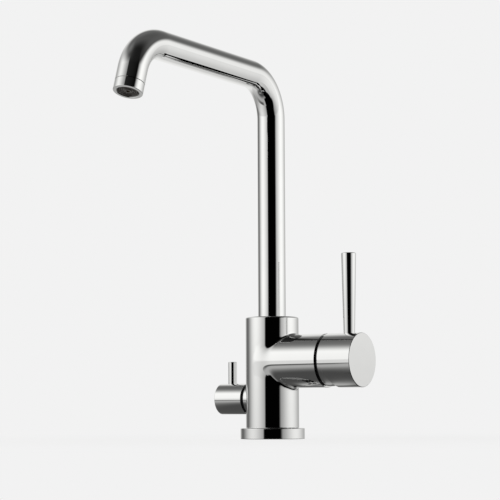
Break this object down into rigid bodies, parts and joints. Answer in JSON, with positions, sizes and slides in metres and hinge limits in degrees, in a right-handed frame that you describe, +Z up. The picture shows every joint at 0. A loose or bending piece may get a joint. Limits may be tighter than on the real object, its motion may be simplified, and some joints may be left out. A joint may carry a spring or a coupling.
{
  "type": "three way filtered water tap",
  "caption": "Kitchen tap with a tall swivelling square-bend spout, a side mixer arm with a lever cap, and a small side knob for filtered water.",
  "frame": {"origin": "centre of the underside on the column's axis, on the deck plane", "axes": "+Z up the column, +X along the mixer arm towards its lever, spout points to -Y, filter knob on -X"},
  "size_m": [0.1478, 0.2578, 0.3423],
  "materials": {
    "chrome": "bright chrome plate, mirror polished",
    "brass": "machined brass",
    "stainless_steel": "turned stainless steel",
    "black_rubber": "moulded black rubber",
    "black_plastic": "matt black moulded plastic",
    "white_plastic": "white moulded plastic",
    "grey_plastic": "dark grey moulded plastic",
    "white_ceramic": "lapped white ceramic"
  },
  "bodies": {
    "body": {"base_ring": "chrome", "base_seal": "black_rubber", "base_insert": "brass", "tap_body": "chrome", "mixer_arm": "chrome", "spout_lock_screw": "stainless_steel", "spout_glide_ring": "white_plastic", "spout_top_bush": "white_plastic", "filtered_tube_seal": "black_rubber", "cartridge_base": "white_plastic", "cartridge_seals": "black_rubber", "cartridge_housing": "white_plastic", "fixed_ceramic_disc": "white_ceramic", "cartridge_nut": "brass", "joint_spacer": "black_plastic", "dome_trim_ring": "chrome", "filter_valve_body": "brass", "filter_valve_seal": "black_rubber", "filter_fixed_disc": "white_ceramic", "knob_gap_ring": "black_plastic"},
    "spout": {"spout_tube": "chrome", "spout_tail": "brass", "spout_o_rings": "black_rubber", "filtered_water_tube": "white_plastic", "outlet_adapter": "brass", "aerator_housing": "chrome", "aerator_washer": "black_rubber", "aerator_insert": "grey_plastic", "filtered_nozzle": "brass"},
    "mixer_rotor": {"cartridge_rotor": "white_plastic", "stem_pivot_pin": "stainless_steel"},
    "mixer_handle": {"handle_cap": "chrome", "lever_rod": "chrome", "mixer_stem": "stainless_steel", "handle_grub_screw": "stainless_steel", "handle_plug": "chrome"},
    "mixing_disc": {"moving_ceramic_disc": "white_ceramic", "disc_carrier": "white_plastic"},
    "filter_handle": {"filter_knob": "chrome", "filter_knob_pin": "chrome", "filter_spindle": "brass", "filter_turning_disc": "white_ceramic", "spindle_o_ring": "black_rubber", "spindle_clip": "stainless_steel"}
  },
  "joints": [
    {"name": "spout_swivel", "type": "hinge", "parent": "body", "child": "spout", "pos_m": [0, 0, 0.098], "axis": [0, 0, 1], "range_deg": [-120, 120]},
    {"name": "mixer_temperature", "type": "hinge", "parent": "body", "child": "mixer_rotor", "pos_m": [0.056, 0, 0.0693], "axis": [1, 0, 0], "range_deg": [-50, 50]},
    {"name": "mixer_flow", "type": "hinge", "parent": "mixer_rotor", "child": "mixer_handle", "pos_m": [0.0614, 0, 0.0693], "axis": [0, 1, 0], "range_deg": [0, 24]},
    {"name": "mixing_disc_slide", "type": "slide", "parent": "mixer_rotor", "child": "mixing_disc", "axis": [0, 0, 1], "range_m": [0, 0.0051]},
    {"name": "filter_valve", "type": "hinge", "parent": "body", "child": "filter_handle", "pos_m": [-0.03, 0, 0.036], "axis": [1, 0, 0], "range_deg": [0, 90]}
  ],
  "couplings": [
    {"joint": "mixing_disc_slide", "follows": "mixer_flow", "m_per_rad": 0.012}
  ]
}
